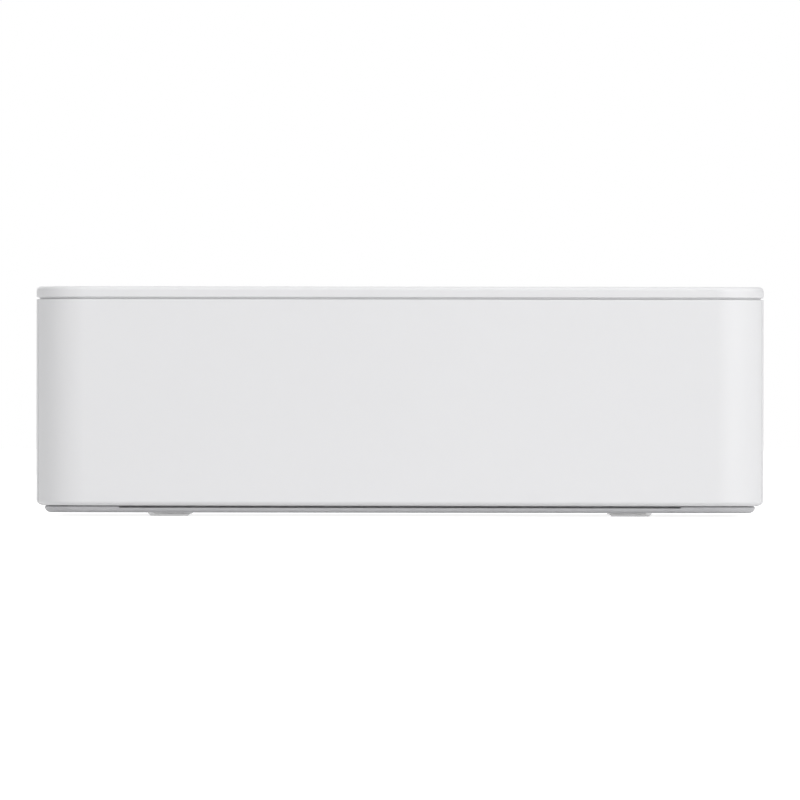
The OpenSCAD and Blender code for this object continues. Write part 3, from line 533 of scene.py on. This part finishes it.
def shade_true(piece):
    """Flat faces shade flat, rounds shade smooth and corners stay crisp."""
    split = piece.modifiers.new("crisp_corners", "EDGE_SPLIT")
    split.split_angle = SMOOTH_ANGLE
    level = piece.modifiers.new("flat_faces", "WEIGHTED_NORMAL")
    level.mode = "FACE_AREA_WITH_ANGLE"
    level.weight = 100


def dress_nodes():
    """Gives each CAD node its finish, joins its loose triangles and softens its edges."""
    for part in frame["record"]["subparts"]:
        name = part["node"]
        node = frame["nodes"][name]
        node.data.materials.clear()
        node.data.materials.append(OWN_FINISHES.get(name, FINISHES[part["material_slot"]]))
        node.data.polygons.foreach_set("use_smooth", [True] * len(node.data.polygons))
        weld = node.modifiers.new("join_triangles", "WELD")
        weld.merge_threshold = SAME_POINT
        if name in SOFT_EDGED:
            soften_edges(node, SOFT_EDGED[name])
        shade_true(node)


dress_nodes()


# ---- Modelling by hand. Points and sizes are in millimetres and turns in degrees. ----

def in_metres(*point):
    """A point or a step, turned from millimetres into metres."""
    return tuple(mark * MM for mark in point)


def at(x, y, z):
    """Matrix that carries the origin to a point."""
    return Matrix.Translation(Vector((x, y, z)) * MM)


def take(*pieces):
    """Leaves only these pieces selected, with the first active."""
    bpy.ops.object.select_all(action="DESELECT")
    for piece in pieces:
        piece.select_set(True)
    bpy.context.view_layer.objects.active = pieces[0]


def settle(piece, name=None):
    """Puts a piece's place, turn and scale into its mesh."""
    take(piece)
    bpy.ops.object.transform_apply(location=True, rotation=True, scale=True)
    if name:
        piece.name = name
        piece.data.name = name
    return piece


def block(low, high):
    """Block between two corners."""
    bpy.ops.object.select_all(action="DESELECT")
    middle = [(a + b) / 2 * MM for a, b in zip(low, high)]
    size = [(b - a) * MM for a, b in zip(low, high)]
    bpy.ops.mesh.primitive_cube_add(size=1, location=middle, scale=size)
    return settle(bpy.context.object)


def disc(centre, radius, height, sides=32, turn=0.0):
    """Upright disc that stands on the point centre."""
    x, y, z = centre
    bpy.ops.object.select_all(action="DESELECT")
    bpy.ops.mesh.primitive_cylinder_add(
        vertices=sides, radius=radius * MM, depth=height * MM, rotation=(0, 0, math.radians(turn)),
        location=in_metres(x, y, z + height / 2))
    return settle(bpy.context.object)


def edit(piece, kind="FACE"):
    """Edit mode on one piece, with nothing picked."""
    take(piece)
    bpy.ops.object.mode_set(mode="EDIT")
    bpy.ops.mesh.select_mode(type=kind)
    bpy.ops.mesh.select_all(action="DESELECT")


def done():
    """Leaves edit mode."""
    bpy.ops.object.mode_set(mode="OBJECT")


def pick_all():
    """Picks the whole mesh."""
    bpy.ops.mesh.select_all(action="SELECT")


def pick_faces(test):
    """Picks the faces for which test(middle, normal) holds."""
    mesh = bmesh.from_edit_mesh(bpy.context.object.data)
    for face in mesh.faces:
        face.select_set(bool(test(face.calc_center_median() / MM, face.normal)))
    bmesh.update_edit_mesh(bpy.context.object.data)


def pick_edges(test):
    """Picks the edges for which test(one end, other end) holds."""
    mesh = bmesh.from_edit_mesh(bpy.context.object.data)
    for edge in mesh.edges:
        edge.select_set(bool(test(*[corner.co / MM for corner in edge.verts])))
    bmesh.update_edit_mesh(bpy.context.object.data)


def push(x, y, z):
    """Extrudes what is picked by a step."""
    bpy.ops.mesh.extrude_region_move(TRANSFORM_OT_translate={"value": in_metres(x, y, z)})


def bevel_edges(piece, test, width, steps=3):
    """Rounds the edges of a piece for which test(one end, other end) holds."""
    edit(piece, "EDGE")
    pick_edges(test)
    bpy.ops.mesh.bevel(offset=width * MM, segments=steps, affect="EDGES")
    done()
    return piece


def is_upright(a, b):
    """Test for edges that run straight up."""
    return abs(a.x - b.x) < 1e-3 and abs(a.y - b.y) < 1e-3


def above(z):
    """Test for edges with both ends over a height."""
    return lambda a, b: min(a.z, b.z) > z


def below(z):
    """Test for edges with both ends under a height."""
    return lambda a, b: max(a.z, b.z) < z


def outward(piece):
    """Merges doubles and turns all faces outwards."""
    edit(piece)
    pick_all()
    bpy.ops.mesh.remove_doubles(threshold=SAME_POINT)
    bpy.ops.mesh.normals_make_consistent(inside=False)
    done()
    return piece


def join(name, *pieces):
    """One piece out of several."""
    take(*pieces)
    bpy.ops.object.join()
    return settle(bpy.context.object, name)


def cut(piece, *cutters):
    """Cuts the cutters' shapes out of a piece."""
    for cutter in cutters:
        take(piece)
        hole = piece.modifiers.new("hole", "BOOLEAN")
        hole.operation = "DIFFERENCE"
        hole.object = cutter
        bpy.ops.object.modifier_apply(modifier=hole.name)
        bpy.data.objects.remove(cutter)
    return piece


def copy_of(piece, name, matrix):
    """Copy with its own mesh, put in place by a matrix."""
    twin = piece.copy()
    twin.data = piece.data.copy()
    bpy.context.scene.collection.objects.link(twin)
    twin.matrix_world = matrix
    return settle(twin, name)


def dress(piece, slot, finish=None):
    """Gives a finished piece its finish, by default the slot's own, and its shading."""
    take(piece)
    bpy.ops.object.shade_smooth_by_angle(angle=SMOOTH_ANGLE)
    piece.data.materials.clear()
    piece.data.materials.append(finish or FINISHES[slot])


def fit_out(piece, body, slot, finish=None):
    """Dresses a finished piece and lets it ride on its body."""
    dress(piece, slot, finish)
    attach(piece, body)


# ---- Signs printed on the buttons ----

# Bottom and top of the print in the dished caps, and of the print on the pad and its middle
CAP_PRINT = (57.2, 57.33)
PAD_PRINT = (57.4, 57.49)

# Width of a printed line
LINE = 0.38


def bar(x0, y0, x1, y1):
    """Flat bar with rounded ends, printed on a cap."""
    low, high = CAP_PRINT
    made = block((x0, y0, low), (x1, y1, high))
    return bevel_edges(made, is_upright, min(x1 - x0, y1 - y0) * 0.45)


def arc(x, y, radius, start, sweep):
    """Part of a flat ring, spun from its end face about an upright axis. It runs anticlockwise."""
    low, high = CAP_PRINT
    way = math.radians(start)
    end_x, end_y = x + radius * math.cos(way), y + radius * math.sin(way)
    bpy.ops.object.select_all(action="DESELECT")
    bpy.ops.mesh.primitive_plane_add(
        size=1, rotation=(math.radians(90), 0, way), location=in_metres(end_x, end_y, (low + high) / 2))
    bpy.context.object.scale = (LINE * MM, (high - low) * MM, 1)
    made = settle(bpy.context.object)
    edit(made)
    pick_all()
    bpy.ops.mesh.spin(steps=28, angle=math.radians(-sweep), center=in_metres(x, y, 0), axis=(0, 0, 1))
    done()
    return outward(made)


def arrow_tip(x, y, size, turn, print_z):
    """Flat triangle that points along turn, in degrees from +X."""
    low, high = print_z
    made = disc((x, y, low), size, high - low, sides=3, turn=turn - 90)
    return bevel_edges(made, is_upright, size * 0.12, 2)


def power_sign(x, y):
    """A ring that is open at the top, and an upright bar."""
    return join("power_sign", arc(x, y, radius=1.55, start=125, sweep=290),
                bar(x - LINE / 2, y + 0.2, x + LINE / 2, y + 2.1))


def menu_sign(x, y):
    """Three lines."""
    half_length = 1.7
    pitch = 1.1
    lines = [bar(x - half_length, y + rise - LINE / 2, x + half_length, y + rise + LINE / 2)
             for rise in (-pitch, 0, pitch)]
    return join("menu_sign", *lines)


def back_sign(x, y):
    """An arrow that turns back."""
    radius = 1.35
    return join("back_sign", arc(x, y, radius, start=-80, sweep=255),
                arrow_tip(x - radius, y - 0.3, 0.9, 266, CAP_PRINT))


def print_sign(x, y):
    """A box with paper behind it and a sheet that comes out below."""
    low, high = CAP_PRINT
    half_sheet = 1.15
    half_mouth = 1.4
    case = bar(x - 1.9, y - 0.4, x + 1.9, y + 1.5)
    case = cut(case, block((x - half_mouth, y - 0.9, low - 1), (x + half_mouth, y + 0.15, high + 1)))
    return join("print_sign", case, bar(x - half_sheet, y - 1.9, x + half_sheet, y - 0.15),
                bar(x - half_sheet, y + 1.75, x + half_sheet, y + 2.1))


def direction_signs(x, y):
    """Four tips round the pad."""
    away = 8.9
    tips = []
    for turn in (0, 90, 180, 270):
        way = math.radians(turn)
        tips.append(arrow_tip(x + away * math.cos(way), y + away * math.sin(way), 1.05, turn, PAD_PRINT))
    return join("direction_signs", *tips)


def ok_word(x, y):
    """The word OK, made into a mesh and given a thickness."""
    low, high = PAD_PRINT
    bpy.ops.object.select_all(action="DESELECT")
    bpy.ops.object.text_add(location=in_metres(x, y, low))
    word = bpy.context.object
    word.data.body = "OK"
    word.data.size = 3.6 * MM
    word.data.align_x = "CENTER"
    word.data.align_y = "CENTER"
    take(word)
    bpy.ops.object.convert(target="MESH")
    word = settle(bpy.context.object, "ok_word")
    edit(word)
    pick_all()
    push(0, 0, high - low)
    done()
    return outward(word)


SIGNS = {
    "power_button": power_sign,
    "menu_button": menu_sign,
    "back_button": back_sign,
    "print_button": print_sign,
    "direction_pad": direction_signs,
    "ok_button": ok_word,
}


def mark_buttons():
    """Prints each button's sign at the middle of its cap."""
    for button, sign in SIGNS.items():
        middle = middle_of(button)
        fit_out(sign(middle.x, middle.y), button, "dark_plastic")


# ---- Screws ----

def screw_head(radius, height):
    """Pan-headed screw with a cross recess, its seat on the origin and its head up."""
    sunk = 0.4
    made = disc((0, 0, -sunk), radius, height + sunk)
    made = bevel_edges(made, above(height - 0.01), height * 0.55, 4)
    reach, half_slot = radius * 0.55, radius * 0.16
    slot_z = height * 0.45
    slots = [block((-x, -y, slot_z), (x, y, height + 1)) for x, y in ((reach, half_slot), (half_slot, reach))]
    return cut(made, *slots)


# Turns of a screw by where its head faces
UP = Matrix.Identity(4)
TO_FRONT = Matrix.Rotation(math.radians(90), 4, "X")
TO_LEFT = Matrix.Rotation(math.radians(-90), 4, "Y")
TO_RIGHT = Matrix.Rotation(math.radians(90), 4, "Y")


def add_screws():
    """The screws that hold the side plates, main board, front frame, motor bracket and motors."""
    pan = screw_head(radius=1.9, height=0.95)
    small = screw_head(radius=1.5, height=0.7)
    plate_foot_x = 58.2
    plate_foot_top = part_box("left_side_plate")[0].z / MM + SHEET
    frame_x = 76.5
    frame_front = -62.2
    bracket_left, bracket_right = [corner.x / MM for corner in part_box("motor_bracket")]
    drive_y, drive_z = shaft_at("drive_pinion_spin")
    lift_y, lift_z = shaft_at("lift_pinion_spin")
    drive_screws_off, lift_screws_off = 7.6, 5.6
    sets = {
        "plate_screws": (pan, UP, [
            (side * plate_foot_x, y, plate_foot_top) for side in SIDES for y in (-27, 1, 53)]),
        "board_screws": (pan, UP, [
            (x, y, BOARD_TOP) for x in (-50, 52) for y in (8, 56)]),
        "frame_screws": (small, TO_FRONT, [
            (side * frame_x, frame_front, z) for side in SIDES for z in (12, 43)]),
        "bracket_screws": (pan, TO_LEFT, [
            (bracket_left, 31, z) for z in (28, 45)]),
        "motor_screws": (small, TO_RIGHT, [
            *[(bracket_right, drive_y + side * drive_screws_off, drive_z) for side in SIDES],
            *[(bracket_right, lift_y, lift_z + side * lift_screws_off) for side in SIDES]]),
    }
    for name, (screw, turn, places) in sets.items():
        heads = [copy_of(screw, f"{name}_{i}", at(*place) @ turn) for i, place in enumerate(places)]
        fit_out(join(name, *heads), "chassis", "steel")
    for screw in (pan, small):
        bpy.data.objects.remove(screw)


# ---- Springs between the print head and the press bar ----

def coil(radius, wire, low, high, turns):
    """Closed coil of round wire, wound up an upright axis on the origin."""
    wire_sides = 10
    steps_a_turn = 28
    steps = int(steps_a_turn * turns)
    step_turn = Matrix.Rotation(2 * math.pi * turns / steps, 4, "Z")
    step_rise = (high - low - 2 * wire) / steps
    bpy.ops.object.select_all(action="DESELECT")
    bpy.ops.mesh.primitive_circle_add(
        vertices=wire_sides, radius=wire * MM, fill_type="NGON", rotation=(math.radians(90), 0, 0),
        location=in_metres(radius, 0, low + wire))
    made = settle(bpy.context.object)
    edit(made)
    pick_all()
    for _ in range(steps):
        push(0, 0, step_rise)
        mesh = bmesh.from_edit_mesh(made.data)
        bmesh.ops.transform(mesh, matrix=step_turn, verts=[v for v in mesh.verts if v.select])
        bmesh.update_edit_mesh(made.data)
    done()
    return outward(made)


def add_head_springs():
    """Two coil springs that press the print head down from the press bar."""
    spring_x = 35
    spring_y = middle_of("press_bar").y
    head_top = 45.6
    bar_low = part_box("press_bar")[1].z / MM - SHEET
    spring = coil(radius=2.3, wire=0.3, low=head_top, high=bar_low, turns=3.5)
    for side, name in zip(SIDES, ("head_spring_left", "head_spring_right")):
        x = side * spring_x
        made = copy_of(spring, name, at(x, spring_y, 0))
        dress(made, "steel")
        in_metres(x, spring_y, head_top)
        in_metres(x, spring_y, bar_low)
        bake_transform(made)
    bpy.data.objects.remove(spring)


# ---- Plugs and parts on the main board ----

def plug_housing(pins):
    """Open-topped socket for a wire plug, with its row of pins, on the origin."""
    pitch = 1.5
    half_pin = 0.25
    pin_top = 2.7
    wall = 0.6
    well = 2.5
    notch_low = 1.6
    half_width, half_depth, height = (pins * pitch + 2.4) / 2, 2.2, 3.2
    made = block((-half_width, -half_depth, -0.1), (half_width, half_depth, height))
    edit(made)
    pick_faces(lambda middle, normal: normal.z > 0.9)
    bpy.ops.mesh.inset(thickness=wall * MM)
    push(0, 0, -well)
    done()
    made = cut(made, block((-half_width / 2, -3, notch_low), (half_width / 2, -1, height + 1)))
    first = -(pins - 1) * pitch / 2
    rods = []
    for i in range(pins):
        x = first + i * pitch
        rod = block((x - half_pin, -half_pin, 0.5), (x + half_pin, half_pin, pin_top))
        rods.append(bevel_edges(rod, above(pin_top - 0.1), 0.12, 1))
    return made, join("pins", *rods)


def chip(width, depth, height, legs):
    """Flat black chip with a dot in one corner and bent legs along two sides, on the origin."""
    clearance = 0.15
    dot_in = 0.9
    dot_depth = 0.08
    half_leg = 0.18
    leg_thick = 0.16
    half_width, half_depth = width / 2, depth / 2
    body = block((-half_width, -half_depth, clearance), (half_width, half_depth, height))
    body = bevel_edges(body, lambda a, b: max(a.z, b.z) > height / 2, 0.15, 2)
    dot = disc((dot_in - half_width, half_depth - dot_in, height - dot_depth), 0.35, 1, sides=20)
    body = cut(body, dot)
    pitch = width / (legs + 1)
    leg_z = height * 0.5
    row = []
    for i in range(legs):
        x = -half_width + pitch * (i + 1)
        leg = block((x - half_leg, half_depth - 0.1, leg_z),
                    (x + half_leg, half_depth + 0.35, leg_z + leg_thick))
        edit(leg)
        pick_faces(lambda middle, normal: normal.y > 0.9)
        push(0, 0.3, -leg_z)
        push(0, 0.4, 0)
        done()
        row += [leg, copy_of(leg, "leg", Matrix.Rotation(math.pi, 4, "Z"))]
    return body, join("legs", *row)


SOCKET_PLACES = [(-46, 24, 90), (-46, 36, 90), (30, 52, 0), (47, 26, -90)]
CHIP_PLACES = [(-8, 40, 0), (26, 38, 90), (2, 8.5, 0), (26, 12, 0), (-30, 10, 90)]


def spread(pattern, name, slot, places, z):
    """One piece of the chassis out of copies of a pattern, at places given as x, y and turn."""
    copies = []
    for i, (x, y, turn) in enumerate(places):
        put = at(x, y, z) @ Matrix.Rotation(math.radians(turn), 4, "Z")
        copies.append(copy_of(pattern, f"{name}_{i}", put))
    fit_out(join(name, *copies), "chassis", slot)
    bpy.data.objects.remove(pattern)


def add_board_parts():
    """Wire sockets and small chips on the main board."""
    housing, pins = plug_housing(4)
    spread(housing, "wire_sockets", "gear_plastic", SOCKET_PLACES, BOARD_TOP)
    spread(pins, "socket_pins", "steel", SOCKET_PLACES, BOARD_TOP)
    body, legs = chip(width=6.5, depth=4.4, height=1.3, legs=8)
    spread(body, "small_chips", "black_plastic", CHIP_PLACES, BOARD_TOP - 0.05)
    spread(legs, "chip_legs", "steel", CHIP_PLACES, BOARD_TOP - 0.05)


# ---- Flat cable from the display to the button board ----

def flat_cable_finish():
    """White flat cable with grey conductors along X and a blue-backed end."""
    wire_pitch = 0.001
    blue_from = 27.5
    f = material("flat_cable")
    wires = (f.axis("Y") * (math.tau / wire_pitch)).sine() > 0.2
    end = f.axis("X") > blue_from * MM
    shade = f.blend(wires, (0.75, 0.76, 0.78, 1), (0.5, 0.51, 0.53, 1))
    shade = f.blend(end, shade, (0.05, 0.16, 0.5, 1))
    return f.principled(Skin(shade, 0.38 - wires * 0.06, wires * 0.00003), Coat_Weight=0.1)


def add_display_cable():
    """Thin flat band that leaves the display's edge and plugs in under the button board."""
    bend_step = 2.5
    band = block((9.5, -14, 51.5), (12, -2, 51.62))
    edit(band)
    pick_faces(lambda middle, normal: normal.x > 0.7)
    for drop in (0.12, 0.4, 0.55, 0.35, 0.1):
        push(bend_step, 0, -drop)
    push(3.5, 0, 0)
    push(3, 0, 0)
    done()
    fit_out(settle(band, "display_cable"), "chassis", "grey_plastic", flat_cable_finish())

    clip_low = 49.1
    clip_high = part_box("button_board")[0].z / MM + 0.02
    clip = block((28.5, -15.5, clip_low), (32.5, -0.5, clip_high))
    clip = bevel_edges(clip, below(clip_low + 0.1), 0.3, 2)
    fit_out(settle(clip, "cable_clip"), "chassis", "black_plastic")


# ---- Bare plate on the underside ----

def add_rating_plate():
    """Bare white plate with rounded corners under the base."""
    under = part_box("base_tray")[0].z / MM
    plate = block((-26, -44, under - 0.08), (26, -20, under + 0.02))
    plate = bevel_edges(plate, is_upright, 2, 6)
    fit_out(settle(plate, "rating_plate"), "chassis", "white_shell")


mark_buttons()
add_screws()
add_head_springs()
add_board_parts()
add_display_cable()
add_rating_plate()


# ---- Camera, stage and light ----

FLOOR_SIZE = 12
FLOOR_GREY = (0.8, 0.8, 0.8, 1)
FLOOR_GLOW = 0.86
WORLD_LIGHT = 0.42
WHITE_LIGHT = (1, 1, 1, 1)


def add_camera():
    """Level camera in front, framed so that the body's sides fall where the photograph has them."""
    data = bpy.data.cameras.new("camera")
    camera = bpy.data.objects.new("camera", data)
    bpy.context.scene.collection.objects.link(camera)
    # How far round the upright corner, from the front, its outline lies
    outline_turn = math.radians(87)
    side_x = HALF_WIDTH - CORNER_RADIUS + CORNER_RADIUS * math.sin(outline_turn)
    side_depth = CAMERA_DISTANCE + CORNER_RADIUS * (1 - math.cos(outline_turn))
    half_px = (BODY_RIGHT_PX - BODY_LEFT_PX) / 2
    data.sensor_width = SENSOR
    data.lens = half_px / (side_x / side_depth) / IMAGE_PX * SENSOR
    camera.location = (0, FRONT_Y - CAMERA_DISTANCE, CAMERA_Z)
    camera.rotation_euler = (math.radians(90), CAMERA_ROLL, 0)
    data.clip_start = 0.01
    data.clip_end = 30
    bpy.context.scene.camera = camera


def seen_by(f, *rays):
    """1 on rays of these kinds, else 0."""
    return sum(f.node("ShaderNodeLightPath", out=ray) for ray in rays)


def add_floor():
    """Pale floor that shows white from above and nothing from below."""
    bpy.ops.object.select_all(action="DESELECT")
    bpy.ops.mesh.primitive_plane_add(size=FLOOR_SIZE, location=(0, 0, 0))
    floor = bpy.context.object
    floor.name = "floor"
    f = material("floor")
    seen = seen_by(f, "Is Camera Ray", "Is Glossy Ray", "Is Transmission Ray")
    matt = f.node("ShaderNodeBsdfDiffuse", None, {"Color": FLOOR_GREY})
    glow = f.node("ShaderNodeEmission", None, {"Color": WHITE_LIGHT, "Strength": seen * FLOOR_GLOW})
    from_above = f.node("ShaderNodeAddShader", None, {0: matt, 1: glow})
    from_below = f.node("ShaderNodeBsdfTransparent", None, {"Color": WHITE_LIGHT})
    is_below = f.node("ShaderNodeNewGeometry", out="Backfacing")
    f.ends_in(f.node("ShaderNodeMixShader", None, {0: is_below, 1: from_above, 2: from_below}))
    floor.data.materials.append(f.owner)


def add_world():
    """World that the camera sees white and that lights the body more weakly."""
    world = bpy.data.worlds.new("world")
    bpy.context.scene.world = world
    w = Finish(world, "ShaderNodeOutputWorld")
    seen = seen_by(w, "Is Camera Ray", "Is Transmission Ray")
    w.ends_in(w.node("ShaderNodeBackground", None, {
        "Color": WHITE_LIGHT, "Strength": seen * (1 - WORLD_LIGHT) + WORLD_LIGHT}))


def add_softbox(name, azimuth, elevation, distance, size, watts):
    """Square area lamp aimed at the middle of the body. Azimuth 0 is in front and 90 to the right."""
    a, e = math.radians(azimuth), math.radians(elevation)
    middle = Vector((0, 0, CAMERA_Z))
    way = Vector((math.sin(a) * math.cos(e), -math.cos(a) * math.cos(e), math.sin(e)))
    data = bpy.data.lights.new(name, "AREA")
    data.shape = "SQUARE"
    data.size = size
    data.energy = watts
    lamp = bpy.data.objects.new(name, data)
    lamp.location = middle + way * distance
    lamp.rotation_euler = way.to_track_quat("Z", "Y").to_euler()
    bpy.context.scene.collection.objects.link(lamp)


def add_lights():
    """Broad key from the front right, weaker ones from the front left and behind, and a top light."""
    add_softbox("key", azimuth=42, elevation=22, distance=1.8, size=1.2, watts=13.9)
    add_softbox("fill", azimuth=-55, elevation=12, distance=2.2, size=1.4, watts=5.4)
    add_softbox("top", azimuth=10, elevation=78, distance=1.6, size=1.2, watts=6.3)
    add_softbox("behind", azimuth=197, elevation=24, distance=2.2, size=1.4, watts=7.0)


add_camera()
add_floor()
add_world()
add_lights()

bpy.context.scene.view_settings.view_transform = "Standard"
